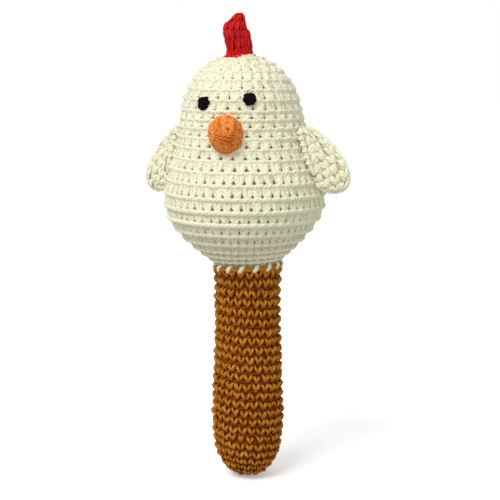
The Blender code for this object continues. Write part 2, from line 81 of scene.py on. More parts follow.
def copyNode(node, name):
    # a copy of one of the frame's solids, with its doubles merged
    piece = bpy.data.objects.new(name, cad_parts[node].data.copy())
    bpy.context.collection.objects.link(piece)
    deselectAll()
    piece.select_set(True)
    bpy.context.view_layer.objects.active = piece
    editAll()
    bpy.ops.mesh.remove_doubles(threshold=0.001 * mm)
    bpy.ops.object.mode_set(mode="OBJECT")
    return piece


def newMaterial(name):
    material = bpy.data.materials.new(name)
    material.use_nodes = True
    return material, material.node_tree.nodes


def feed(node, inputs):
    # sets numbers and colours on a node's sockets, and links outputs to them
    for socket, value in inputs.items():
        if isinstance(value, bpy.types.NodeSocket):
            node.id_data.links.new(value, node.inputs[socket])
        else:
            node.inputs[socket].default_value = value


def addNode(nodes, kind, inputs=None):
    node = nodes.new("ShaderNode" + kind)
    feed(node, inputs or {})
    return node


def addRamp(nodes, share, stops, colours):
    ramp = addNode(nodes, "ValToRGB", {"Fac": share})
    elements = ramp.color_ramp.elements
    while len(elements) < len(stops):
        elements.new(0.5)
    for element, stop, colour in zip(elements, stops, colours):
        element.position = stop
        element.color = (*colour, 1.0)
    return ramp.outputs["Color"]


def splitByCamera(nodes, unseen, seen, output):
    # the camera sees one shader, and all other rays meet the other
    rays = addNode(nodes, "LightPath").outputs["Is Camera Ray"]
    choice = addNode(nodes, "MixShader", {"Fac": rays, 1: unseen.outputs[0], 2: seen.outputs[0]})
    feed(nodes[output], {"Surface": choice.outputs[0]})


# studio

studio = {
    "turn": 15.4,  # the camera, in degrees from the front towards the toy's left
    "rise": 9.0,
    "distance": 569.0,
    "aimHeight": 94.0,
    "aimRight": 0.9,
    "lens": 100.8,
    "sensor": 36.0,
    "sky": 0.62,  # light from the white room
    "skySeen": 1.0,
    "keyPower": 1.9,
    "keyTurn": -19.0,
    "keyRise": 48.0,
    "keySoftness": 32.0,
    "floorSize": 6000.0,
    "floorColour": (0.92, 0.92, 0.92),
    "floorRoughness": 0.9,
    "floorGlow": 0.3,
    "floorBounce": 0.6,  # how pale the floor is to the toy, which keeps its underside in shade
    "floorDrop": 0.6,
}


def direction(turn, rise):
    # away from the toy, by degrees from its front towards its left, and upwards
    turn, rise = math.radians(turn), math.radians(rise)
    return Vector((math.sin(turn) * math.cos(rise), -math.cos(turn) * math.cos(rise), math.sin(rise)))


def buildStudio():
    away, turn = direction(studio["turn"], studio["rise"]), math.radians(studio["turn"])
    right = Vector((math.cos(turn), math.sin(turn), 0.0))
    aim = Vector((0.0, 0.0, studio["aimHeight"])) + right * studio["aimRight"]
    deselectAll()
    bpy.ops.object.camera_add(location=(aim + away * studio["distance"]) * mm)
    camera = bpy.context.object
    camera.name = "studioCamera"
    camera.rotation_mode = "QUATERNION"
    camera.rotation_quaternion = (-away).to_track_quat("-Z", "Y")
    camera.data.lens = studio["lens"]
    camera.data.sensor_width = studio["sensor"]
    camera.data.clip_start = 0.01
    bpy.context.scene.camera = camera
    toKey = direction(studio["keyTurn"], studio["keyRise"])
    bpy.ops.object.light_add(type="SUN", location=toKey)
    lamp = bpy.context.object
    lamp.name = "keyLight"
    lamp.rotation_euler = (-toKey).to_track_quat("-Z", "Y").to_euler()
    lamp.data.energy = studio["keyPower"]
    lamp.data.angle = math.radians(studio["keySoftness"])
    white = (1.0, 1.0, 1.0, 1.0)
    world = bpy.data.worlds.new("studioSky")
    world.use_nodes = True
    nodes = world.node_tree.nodes
    feed(nodes["Background"], {"Color": white, "Strength": studio["sky"]})
    seen = addNode(nodes, "Background", {"Color": white, "Strength": studio["skySeen"]})
    splitByCamera(nodes, nodes["Background"], seen, "World Output")
    bpy.context.scene.world = world
    bpy.context.scene.view_settings.view_transform = "Standard"
    bpy.ops.mesh.primitive_plane_add(size=studio["floorSize"] * mm, location=(0.0, 0.0, -studio["floorDrop"] * mm))
    floor = bpy.context.object
    floor.name = "floor"
    paint, nodes = newMaterial("paleFloor")
    shader = nodes["Principled BSDF"]
    feed(shader, {"Base Color": (*studio["floorColour"], 1.0), "Roughness": studio["floorRoughness"],
                  "Emission Color": white, "Emission Strength": studio["floorGlow"]})
    bounce = addNode(nodes, "BsdfDiffuse", {"Color": (*[studio["floorBounce"]] * 3, 1.0)})
    splitByCamera(nodes, bounce, shader, "Material Output")
    floor.data.materials.append(paint)
    print("studio set")


# curves and surfaces

def readAt(spot, pairs):
    # the value at a spot, from pairs of spot and value
    return np.interp(spot, *zip(*pairs))


def between(t, before, after, start, end):
    return before + (after - before) * (t - start) / (end - start)


def smoothLine(points, steps):
    # spline through the points, as the frame's outlines are drawn, mirrored where it ends on the axis
    points = [np.array(point, float) for point in points]
    mirror = np.array([-1.0] + [1.0] * (len(points[0]) - 1))
    before = points[1] * mirror if abs(points[0][0]) < 1e-9 else 2 * points[0] - points[1]
    after = points[-2] * mirror if abs(points[-1][0]) < 1e-9 else 2 * points[-1] - points[-2]
    chain = [before, *points, after]
    line = []
    for a, b, c, d in zip(chain, chain[1:], chain[2:], chain[3:]):
        times = [0.0]
        for here, there in ((a, b), (b, c), (c, d)):
            times.append(times[-1] + math.sqrt(np.linalg.norm(there - here)))
        t0, t1, t2, t3 = times
        for step in range(steps):
            t = t1 + (t2 - t1) * step / steps
            ab, bc, cd = between(t, a, b, t0, t1), between(t, b, c, t1, t2), between(t, c, d, t2, t3)
            line.append(between(t, between(t, ab, bc, t0, t2), between(t, bc, cd, t1, t3), t1, t2))
    line.append(points[-1])
    return np.array(line)


def measureOutline(line):
    # arc length and outward direction of a turned outline that runs from its low end up
    step = np.diff(line, axis=0)
    arc = addUp(np.hypot(step[:, 0], step[:, 1]))
    along = np.gradient(line, arc, axis=0)
    along /= np.linalg.norm(along, axis=1)[:, None]
    return {"arc": arc, "radius": line[:, 0], "height": line[:, 1],
            "outRadius": along[:, 1], "outHeight": -along[:, 0]}


def addUp(steps):
    return np.concatenate([[0.0], np.cumsum(steps)])


def spiralShares(rounds):
    # the share of its height that each round climbs, which fades in and out over three rounds
    steps = np.arange(rounds + 1)
    return np.clip(np.minimum(steps / 3.0, (rounds - steps) / 3.0), 0.0, 1.0)


def turnedSurface(outline, levels, spiral, tilt):
    # rounds worked in a spiral on a turned outline: place() takes azimuth, round and millimetres outwards
    steps = np.arange(len(levels))
    total = outline["arc"][-1]

    def read(arc, key):
        return np.interp(arc, outline["arc"], outline[key])

    def arcAt(azimuth, level):
        lifted = level - azimuth / math.tau * np.interp(level, steps, spiral)
        arc = np.interp(lifted, steps, levels)
        return arc - tilt * np.sin(azimuth) * np.clip(np.sin(np.pi * arc / total), 0.0, 1.0) ** 0.5

    def place(azimuth, level, out):
        arc = arcAt(azimuth, level)
        radius = np.maximum(read(arc, "radius") + out * read(arc, "outRadius"), 0.0)
        height = read(arc, "height") + out * read(arc, "outHeight")
        return np.stack([radius * np.sin(azimuth), -radius * np.cos(azimuth), height], -1)

    def reach(azimuth, level):
        return np.maximum(read(arcAt(azimuth, level), "radius"), 1.2)

    return place, reach


# yarn

yarnLook = {
    "plies": 3.0,
    "turn": 5.5,  # mm for one full turn of the plies
    "bump": 0.6,
    "bumpHeight": 0.3,
    "roughness": 0.87,
    "fibreScale": 1900.0,
    "cloudScale": 130.0,
    "plain": 0.21,  # how light the yarn is, which the next four add to
    # the ply crests painted lighter, with painted shade between the plies
    "ridge": 0.22,
    "fibre": 0.44,
    "cloud": 0.22,
    "tone": 0.12,
    "depth": 0.62,  # painted shade, taken off deep in the stitches
    "shade": 0.35,  # painted shade, taken off by the painted shades of a piece
    "stops": (0.1, 0.38, 0.62, 0.9),
}

# painted shade deep in the stitches, painted shade, middle, and the lightest, for the painted highlight on ply
# crests and the fibres
yarnColours = {
    "creamYarn": [(0.46, 0.44, 0.25), (0.66, 0.645, 0.43), (0.83, 0.815, 0.59), (0.93, 0.92, 0.72)],
    "goldenBrownYarn": [(0.21, 0.042, 0.003), (0.3, 0.085, 0.006), (0.43, 0.148, 0.012), (0.62, 0.27, 0.04)],
    "redYarn": [(0.26, 0.001, 0.002), (0.46, 0.004, 0.006), (0.68, 0.014, 0.017), (0.88, 0.06, 0.055)],
    "orangeYarn": [(0.43, 0.062, 0.006), (0.61, 0.13, 0.017), (0.81, 0.255, 0.05), (0.93, 0.4, 0.13)],
    "blackYarn": [(0.002, 0.002, 0.002), (0.003, 0.003, 0.003), (0.005, 0.005, 0.005), (0.01, 0.01, 0.01)],
}


def mathsFor(nodes):
    # adds Math nodes, whose values are numbers or the outputs of other nodes
    def maths(operation, *values):
        node = addNode(nodes, "Math", dict(enumerate(values)))
        node.operation = operation
        return node.outputs[0]

    return maths


def makePlyGroup():
    # the twist of the plies and the fine fibres, from the strand attribute and the object's own place
    group = bpy.data.node_groups.new("yarnPly", "ShaderNodeTree")
    for name, kind in (("Strand", "Vector"), ("Place", "Vector"), ("Plies", "Float"), ("Turn", "Float")):
        group.interface.new_socket(name=name, in_out="INPUT", socket_type="NodeSocket" + kind)
    for name in ("Ridge", "Fibre", "Height"):
        group.interface.new_socket(name=name, in_out="OUTPUT", socket_type="NodeSocketFloat")
    nodes, maths = group.nodes, mathsFor(group.nodes)
    given = nodes.new("NodeGroupInput").outputs
    split = addNode(nodes, "SeparateXYZ", {0: given["Strand"]}).outputs
    angle = maths("ARCTAN2", split["Y"], split["X"])
    turns = maths("DIVIDE", maths("MULTIPLY", split["Z"], math.tau), given["Turn"])
    wave = maths("COSINE", maths("MULTIPLY", maths("ADD", angle, turns), given["Plies"]))
    ridge = maths("POWER", maths("ADD", maths("MULTIPLY", wave, 0.5), 0.5), 0.6)
    fuzz = addNode(nodes, "TexNoise", {"Vector": given["Place"], "Scale": yarnLook["fibreScale"], "Detail": 3.0})
    fibre = fuzz.outputs["Fac"]
    height = maths("ADD", maths("MULTIPLY", ridge, 0.7), maths("MULTIPLY", fibre, 0.5))
    feed(nodes.new("NodeGroupOutput"), {"Ridge": ridge, "Fibre": fibre, "Height": height})
    return group


def makeYarn(name, sheen=0.0):
    material, nodes = newMaterial(name)
    maths, place = mathsFor(nodes), addNode(nodes, "TexCoord").outputs["Object"]
    strand, facts = addNode(nodes, "Attribute"), addNode(nodes, "Attribute")
    strand.attribute_name = "strand"
    facts.attribute_name = "facts"  # painted shade by depth in the stitch, tone of the stitch, painted shade of the place
    split = addNode(nodes, "SeparateXYZ", {0: facts.outputs["Vector"]}).outputs
    ply = nodes.new("ShaderNodeGroup")
    ply.node_tree = plyGroup
    feed(ply, {"Strand": strand.outputs["Vector"], "Place": place, "Plies": yarnLook["plies"],
               "Turn": yarnLook["turn"]})
    cloud = addNode(nodes, "TexNoise", {"Vector": place, "Scale": yarnLook["cloudScale"], "Detail": 2.0})
    # lightness for the colour ramp: ply crests lighter with painted shade between the plies, random fibre, cloud
    # and stitch tone, less painted shade by depth and by the piece's painted shades
    light = maths("MULTIPLY", ply.outputs["Ridge"], yarnLook["ridge"])
    for operation, source, key in (("ADD", ply.outputs["Fibre"], "fibre"), ("ADD", cloud.outputs["Fac"], "cloud"),
                                   ("ADD", split["Y"], "tone"), ("SUBTRACT", split["X"], "depth"),
                                   ("SUBTRACT", split["Z"], "shade")):
        light = maths(operation, light, maths("MULTIPLY", source, yarnLook[key]))
    light = maths("ADD", light, yarnLook["plain"])
    rough = maths("ADD", maths("MULTIPLY", ply.outputs["Fibre"], 0.12), yarnLook["roughness"])
    bumps = addNode(nodes, "Bump", {"Height": ply.outputs["Height"], "Strength": yarnLook["bump"],
                                    "Distance": yarnLook["bumpHeight"] * mm})
    feed(nodes["Principled BSDF"], {"Base Color": addRamp(nodes, light, yarnLook["stops"], yarnColours[name]),
                                    "Roughness": rough, "Normal": bumps.outputs["Normal"], "Sheen Weight": sheen,
                                    "Sheen Roughness": 0.6, "Specular IOR Level": 0.06})
    return material


plyGroup = makePlyGroup()
creamYarn = makeYarn("creamYarn", sheen=0.1)
brownYarn = makeYarn("goldenBrownYarn")
redYarn = makeYarn("redYarn")
orangeYarn = makeYarn("orangeYarn")
blackYarn = makeYarn("blackYarn")
print("yarn materials made")


# stitches and lengths of yarn

def startRing(sides, radius, fill):
    deselectAll()
    bpy.ops.mesh.primitive_circle_add(vertices=sides, radius=radius, fill_type=fill, location=(0.0, 0.0, 0.0))
    editAll()
    return bpy.context.object


def modelLeg(sides, rings):
    # one leg of a stitch: a short length of yarn drawn up ring by ring
    piece = startRing(sides, 1.0, "NGON")
    for ring in range(rings - 1):
        bpy.ops.mesh.extrude_region_move(TRANSFORM_OT_translate={"value": (0.0, 0.0, 1.0)})
    bpy.ops.mesh.select_all(action="SELECT")
    endEdit()
    verts, faces = inOrder(*takeMesh(piece))
    return {"round": verts[:, :2], "ring": np.rint(verts[:, 2]).astype(int), "faces": faces}


def carry(verts, matrix):
    turn = np.array(matrix)
    return verts @ turn[:3, :3].T + turn[:3, 3]


def joinParts(name, parts, material, matrix, bend=None):
    # one piece from parts, which are points, faces, strand and facts in millimetres
    verts, partFaces, strand, facts = zip(*parts)
    starts = np.cumsum([0] + [len(spots) for spots in verts]).tolist()
    faces = [[start + corner for corner in face] for start, some in zip(starts, partFaces) for face in some]
    verts = np.concatenate(verts)
    if bend:
        verts = bend(verts)
    mesh = bpy.data.meshes.new(name)
    mesh.from_pydata((carry(verts, matrix) * mm).tolist(), [], faces)
    for label, values in (("strand", strand), ("facts", facts)):
        attribute = mesh.attributes.new(label, "FLOAT_VECTOR", "POINT")
        attribute.data.foreach_set("vector", np.concatenate(values).astype(np.float32).ravel())
    mesh.materials.append(material)
    mesh.shade_smooth()
    mesh.update()
    piece = bpy.data.objects.new(name, mesh)
    bpy.context.collection.objects.link(piece)
    return piece


def turnOut(verts, faces):
    # the faces, turned over if they look inwards
    volume = sum(np.dot(verts[face[0]], np.cross(verts[b], verts[c]))
                 for face in faces for b, c in zip(face[1:], face[2:]))
    return [face[::-1] for face in faces] if volume < 0 else faces


def plainPart(verts, faces, angle, depth):
    # cloth that shows only between the stitches, darkened by the depth given as painted shade
    strand = np.stack([np.cos(angle), np.sin(angle), verts[:, 2]], -1)
    return verts, faces, strand, np.tile([depth, 0.5, 0.0], (len(verts), 1))


def closeSeam(centres, cell, following):
    # adds, drops and shifts a round's last stitches so that the round of the spiral under it follows on
    gap = (following - centres[-1]) / cell
    if gap > 1.5:
        centres, gap = np.append(centres, centres[-1] + cell), gap - 1.0
    elif gap < 0.5:
        centres, gap = centres[:-1], gap + 1.0
    last = min(8, len(centres))
    centres[-last:] += (gap - 1.0) * cell * np.linspace(0.0, 1.0, 9)[-last:]
    return centres


unevenness = {"place": 0.022, "lift": 0.07, "size": 0.05}  # in stitches, mm and shares, for one unit of wobble


def layStitches(place, reach, counts, phases, yarn, number=0):
    # a pair of legs in every stitch of every round, as one part
    chance = np.random.default_rng(yarn["seed"] + number)
    path, ring = np.array(yarn["leg"]), leg["ring"]
    across, upward, outward, wide, thick = (path[ring, column] for column in range(5))
    gap = np.maximum(0.5 - across - wide, 0.0)
    holeSizes = readAt(np.arange(len(counts)), yarn["holeSizes"])
    # painted shade, by round
    shades = readAt(np.arange(len(counts)), yarn.get("shades", [(0, 0.0)]))
    lengths = addUp(np.hypot(np.diff(path[:, 1]) * yarn["pitch"], np.diff(path[:, 2])))
    sideways, forwards = leg["round"].T
    facing = np.sign(forwards) * np.abs(forwards) ** yarn["flat"]
    verts, strand, facts, faces = [], [], [], []
    total = 0

    def roundCentres(level):
        centres = phases[level] + (np.arange(counts[level]) + 0.5) * math.tau / counts[level]
        return np.sort((centres + math.pi) % math.tau - math.pi)

    for level, count in enumerate(counts):
        cell = math.tau / count
        centres = roundCentres(level)
        if yarn.get("spiral") and level:
            centres = closeSeam(centres, cell, roundCentres(level - 1)[0] + math.tau)
            count = len(centres)
        for side in (-1.0, 1.0):
            wobble = chance.normal(0.0, yarn["wobble"], (count, 5))
            sizes = 1.0 + unevenness["size"] * wobble
            azimuth = centres[:, None] + (side * across + unevenness["place"] * wobble[:, 2:3]) * cell
            height = level + upward + unevenness["place"] * wobble[:, 3:4]
            widths = (wide + gap * (1.0 - holeSizes[level])) * cell
            widths = np.minimum(widths, yarn["widest"] / reach(azimuth, height)) * sizes[:, 0:1]
            out = outward + unevenness["lift"] * wobble[:, 4:5] + facing * thick * sizes[:, 1:2]
            points = place(azimuth + side * sideways * widths, height, out)
            phase = chance.uniform(0.0, 10.0, (count, 1))
            tone = chance.uniform(0.0, 1.0, (count, 1))
            # painted shade: the deeper a leg lies under the surface, the darker its colour
            depth = np.clip((yarn["top"] - out) / yarn["deep"], 0.0, 1.0)
            verts.append(points.reshape(-1, 3))
            for rows, values in ((strand, (sideways, forwards, lengths[ring] + phase)),
                                 (facts, (depth, tone, shades[level]))):
                rows.append(np.stack(np.broadcast_arrays(*values), -1).reshape(-1, 3))
            turned = turnOut(points[0], leg["faces"])
            for _ in range(count):
                faces += [[total + corner for corner in face] for face in turned]
                total += len(ring)
    return np.concatenate(verts), faces, np.concatenate(strand), np.concatenate(facts)


def loopLines(place, counts, phases, loops):
    # the yarn along the top of each round, under the next one's stitches
    lines = []
    for level, (count, phase) in enumerate(zip(counts[1:] + counts[-1:], phases[1:] + phases[-1:])):
        azimuth = np.linspace(-math.pi, math.pi, max(24, count * loops["steps"] + 1))
        beat = np.cos((azimuth - phase) * count)
        height = level + loops["at"] + loops["ripple"] * beat
        lines.append(place(azimuth, height, readAt(level, loops["out"]) + loops["swell"] * beat))
    return lines


lining = {"wall": 0.5, "step": 2.4, "leastRadius": 0.8}


def makeLining(outline, depth, sides, bottom):
    # the inside of a cover: a ring drawn up along the outline, closed at its pole, then thickened
    top = outline["arc"][-1]
    arcs = np.linspace(bottom, top, max(8, int((top - bottom) / lining["step"])))
    read = {key: np.interp(arcs, outline["arc"], outline[key]) for key in outline}
    radius = np.maximum(read["radius"] - depth * read["outRadius"], 0.0)
    height = read["height"] - depth * read["outHeight"]
    if radius[0] < radius[-1]:
        radius, height = radius[::-1], height[::-1]
    keep = radius > lining["leastRadius"]
    radius, height, tip = radius[keep], height[keep], height[-1]
    piece = startRing(sides, radius[0], "NOTHING")
    bpy.ops.transform.translate(value=(0.0, 0.0, height[0]))
    for before, after, low, high in zip(radius, radius[1:], height, height[1:]):
        bpy.ops.mesh.extrude_region_move(TRANSFORM_OT_translate={"value": (0.0, 0.0, high - low)})
        bpy.ops.transform.resize(value=(after / before, after / before, 1.0), center_override=(0.0, 0.0, high))
    bpy.ops.mesh.extrude_region_move(TRANSFORM_OT_translate={"value": (0.0, 0.0, tip - height[-1])})
    bpy.ops.mesh.merge(type="CENTER")
    bpy.ops.mesh.select_all(action="SELECT")
    endEdit()
    wall = piece.modifiers.new("wall", "SOLIDIFY")
    wall.thickness = lining["wall"]
    wall.offset = -1.0
    bpy.ops.object.modifier_apply(modifier="wall")
    verts, faces = inOrder(*takeMesh(piece))
    # full painted shade on the inside, which shows through the holes
    return plainPart(verts, faces, np.arctan2(verts[:, 1], verts[:, 0]), 1.0)


def yarnLines(lines, radius, sides=6, depth=0.12, sizes=((0, 1.0),)):
    # lengths of yarn through the points of each line, drawn as curves and turned into one mesh
    chance = np.random.default_rng(7 + len(lines))
    deselectAll()
    bpy.ops.curve.primitive_nurbs_path_add()
    path = bpy.context.object
    path.data.splines.clear()
    path.data.dimensions = "3D"
    path.data.bevel_depth = radius
    path.data.bevel_resolution = (sides - 4) // 2
    for number, line in enumerate(lines):
        size = readAt(number, sizes)
        spline = path.data.splines.new("POLY")
        spline.points.add(len(line) - 1)
        for index, spot in enumerate(line):
            spline.points[index].co = (*spot, 1.0)
            spline.points[index].radius = size * (0.75 if index in (0, len(line) - 1) else 1.0)  # thinner ends
    bpy.ops.object.convert(target="MESH")
    editAll()
    bpy.ops.mesh.fill_holes(sides=sides)
    endEdit()
    verts, faces = takeMesh(bpy.context.object)
    around = len(verts) // sum(len(line) for line in lines)
    turn = math.tau * np.arange(around) / around
    strand, facts = [], []
    for line in lines:
        lengths = addUp(np.linalg.norm(np.diff(np.array(line), axis=0), axis=1))
        phase, tone = chance.uniform(0.0, 10.0), chance.uniform(0.0, 1.0)
        for length in lengths + phase:
            strand.append(np.stack([np.cos(turn), np.sin(turn), np.full(around, length)], -1))
            # depth: the strand's share of painted shade, lighter than plain yarn below 0
            facts.append(np.tile((depth, tone, 0.0), (around, 1)))
    return verts, faces, np.concatenate(strand), np.concatenate(facts)


def coverParts(piece, outline, surface, counts, phases):
    # the stitches of a turned cover, its loops, the yarn along its open end and its lining
    loops, edge = piece["loops"], piece["edge"]
    stitches = layStitches(*surface, counts, phases, piece)
    lines = loopLines(surface[0], counts, phases, loops)
    end = surface[0](np.linspace(-math.pi, math.pi, 49), edge["round"] * len(counts) + edge["at"], edge["out"])
    return [stitches, yarnLines(lines, loops["radius"], depth=loops["depth"], sizes=loops["sizes"]),
            yarnLines([end], edge["radius"], depth=edge["depth"]), makeLining(outline, *piece["lining"])]


buildStudio()

# body cover

bodyPlace = Matrix(((0.99897, 0.0, -0.04536, 0.0),  # it leans by 2.6 degrees
                    (0.0, 1.0, 0.0, 0.0),
                    (0.04536, 0.0, 0.99897, 88.3),
                    (0.0, 0.0, 0.0, 1.0)))

body = {
    "outline": [(12.5, 0.0), (13.3, 1.5), (16.0, 3.6), (20.7, 7.69), (27.07, 14.29), (31.39, 21.15), (32.4, 28.7),
                (30.4, 39.0), (27.4, 48.0), (25.2, 58.3), (22.81, 68.31), (17.59, 77.3), (9.6, 83.11), (0.0, 84.5)],
    "levels": [0.0, 4.4, 7.9, 11.9, 17.0, 22.4, 27.9, 33.0, 38.2, 43.5, 48.4, 53.0, 57.4, 61.5, 65.1, 68.5, 71.9,
               76.5, 80.8, 85.1, 89.4, 93.6, 97.9, 102.1, 106.4],
    "counts": [26, 32, 38, 44, 50, 51, 52, 52, 52, 49, 40, 36, 34, 32, 31, 30, 30, 30, 30, 30, 24, 18, 12, 6],
    "holes": {6: 4.3, 7: -0.6, 8: 0.4, 9: 1.1, 10: 0.1, 11: -2.3, 12: 29.7, 14: 23.4, 15: 25.5},
    "drift": 1.7,  # degrees each round moves to the toy's left, upwards
    "tilt": 0.55,
    # rows: share of the stitch across, of the round up, mm outwards, half width in stitches, half thickness
    "leg": [(0.08, -0.22, -1.5, 0.16, 0.5), (0.095, -0.06, -0.82, 0.235, 0.8), (0.14, 0.12, -0.84, 0.3, 0.86),
            (0.205, 0.28, -1.1, 0.375, 0.86), (0.24, 0.47, -1.28, 0.41, 0.86), (0.25, 0.68, -1.05, 0.4, 0.86),
            (0.256, 0.92, -1.35, 0.3, 0.55)],
    "flat": 0.32,  # below 1 flattens the yarn's outer side
    "holeSizes": [(0, -0.8), (2, -0.6), (3, 0.2), (4, 0.6), (5, 0.85), (9, 0.85), (13, 0.7), (15, 0.57), (16, 0.4),
                  (17, 0.1)],  # round and size, below 0 where the stitches crowd
    "shades": [(0, 1.4), (2, 0.95), (4, 0.5), (6, 0.0)],  # round and share of painted shade, for the close rows at the neck
    "wobble": 1.3,
    "widest": 1.9,
    "spiral": True,
    "pitch": 4.6,
    "top": 0.0,  # mm outwards above which a stitch gets no painted shade, and mm further down to full painted shade
    "deep": 2.3,
    "loops": {"steps": 4, "at": 0.79, "out": [(0, -0.85), (3, -0.7), (6, -0.58), (10, -0.85)],
              "ripple": -0.045, "swell": -0.26, "radius": 1.02, "depth": 0.12,
              "sizes": [(0, 1.28), (3, 1.24), (6, 1.15), (10, 1.02)]},
    "edge": {"round": 0, "at": 0.1, "out": -0.6, "radius": 0.65, "depth": 0.5},  # round: 0 the first, 1 the last; depth is its share of painted shade
    "lining": (1.55, 72, 0.3),  # depth, sides and start
    "seed": 11,
}


def roundPhases(piece):
    phases, last = [], 0.0
    for level in range(len(piece["counts"])):
        last = piece["holes"].get(level, last + piece["drift"])
        phases.append(math.radians(last))
    return phases


leg = modelLeg(6, 7)
bodyOutline = measureOutline(smoothLine(body["outline"], 30))
bodyScale = body["levels"][-1] / bodyOutline["arc"][-1]
print("body outline", round(bodyOutline["arc"][-1], 2), "mm, rounds", len(body["counts"]))
bodySurface = turnedSurface(bodyOutline, [level / bodyScale for level in body["levels"]],
                            spiralShares(len(body["counts"])), body["tilt"])


def makeBody():
    parts = coverParts(body, bodyOutline, bodySurface, body["counts"], roundPhases(body))
    cover = joinParts("bodyCover", parts, creamYarn, bodyPlace)
    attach(cover, "rattle")
    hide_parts("body_cover")
    print("body cover:", sum(body["counts"]), "stitches,", len(cover.data.polygons), "faces")


makeBody()

# handle cover

handle = {
    "outline": [(0.0, -0.5), (3.97, 0.34), (8.15, 2.55), (12.31, 8.82), (14.11, 16.69), (14.5, 27.5), (13.4, 66.0),
                (13.7, 88.0)],
    "topTilt": 2.6,
    "firstRounds": [6, 12, 18],
    "count": 23,
    "pitchLow": 3.4,
    "pitchHigh": 3.9,
    "drift": 1.7,
    "tilt": 0.55,
    "leg": [(0.06, -0.14, -2.0, 0.14, 0.5), (0.075, 0.1, -1.4, 0.165, 0.6), (0.11, 0.28, -0.85, 0.185, 0.68),
            (0.18, 0.46, -0.52, 0.2, 0.72), (0.26, 0.63, -0.46, 0.2, 0.72), (0.325, 0.79, -0.78, 0.185, 0.64),
            (0.36, 0.94, -1.7, 0.15, 0.48)],
    "flat": 0.8,
    "holeSizes": [(0, 1.0)],
    "wobble": 2.5,
    "widest": 0.95,
    "spiral": True,
    "pitch": 3.8,
    "top": 0.0,
    "deep": 2.0,
    # the loops lie deep in the grooves between rounds, in painted shade
    "loops": {"steps": 5, "at": 1.0, "out": [(0, -1.95)], "ripple": 0.05, "swell": 0.42, "radius": 0.62,
              "depth": 0.75, "sizes": [(0, 1.0)]},
    "edge": {"round": 1, "at": -0.02, "out": -0.4, "radius": 0.9, "depth": 0.12},
    "lining": (1.7, 48, 0.4),
    "seed": 23,
}


def makeHandle():
    outline = measureOutline(smoothLine(handle["outline"], 30))
    total = outline["arc"][-1]
    rounds = round(total / ((handle["pitchLow"] + handle["pitchHigh"]) / 2))
    widths = np.linspace(handle["pitchLow"], handle["pitchHigh"], rounds)
    levels = addUp(widths) * total / widths.sum()
    counts = handle["firstRounds"] + [handle["count"]] * (rounds - len(handle["firstRounds"]))
    surface = turnedSurface(outline, levels, spiralShares(rounds), handle["tilt"])
    phases = [math.radians(handle["drift"] * level) for level in range(rounds)]

    def tiltTop(verts):
        share = np.clip(verts[:, 2] / handle["outline"][-1][1], 0.0, None) ** 3
        verts[:, 2] += verts[:, 0] * math.sin(math.radians(handle["topTilt"])) * share
        verts[:, 2] = np.maximum(verts[:, 2], 0.0)  # the flat at the end
        return verts

    parts = coverParts(handle, outline, surface, counts, phases)
    cover = joinParts("handleCover", parts, brownYarn, Matrix(), tiltTop)
    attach(cover, "rattle")
    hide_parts("handle_cover")
    print("handle cover:", sum(counts), "stitches in", rounds, "rounds")


makeHandle()

# sewing round the neck

neckSewing = {
    "count": 15,
    "firstTurn": 5.5,  # azimuth of one stitch
    "slant": 11.0,  # how far each stitch leans over while it climbs 3 mm
    "radius": 0.92,
    "path": [(-1.4, -1.7), (-1.2, -0.5), (-0.6, 0.25), (0.1, 0.3), (0.6, -0.3), (0.9, -1.4)],  # height, mm out
    "neck": [(-4.0, 13.4), (0.0, 13.4), (2.3, 13.8)],  # height and radius of the neck
    "seed": 31,
}


def sewNeck():
    chance = np.random.default_rng(neckSewing["seed"])
    height, out = smoothLine(neckSewing["path"], 2).T
    radius = readAt(height, neckSewing["neck"]) + out
    lines = []
    for number in range(neckSewing["count"]):
        turn = neckSewing["firstTurn"] + 360.0 * number / neckSewing["count"] + chance.normal(0.0, 1.0)
        azimuth = math.radians(turn) + math.radians(neckSewing["slant"]) * (height / 3.0)
        lines.append(np.stack([radius * np.sin(azimuth), -radius * np.cos(azimuth), height], -1))
    # painted light: a depth below 0 makes the sewing lighter than plain yarn, against the shade of the body above
    # it
    sewing = joinParts("neckSewing", [yarnLines(lines, neckSewing["radius"], depth=-0.3)], creamYarn, bodyPlace)
    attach(sewing, "rattle")
    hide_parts("neck_stitches")
    print("neck sewn")


sewNeck()

# beak

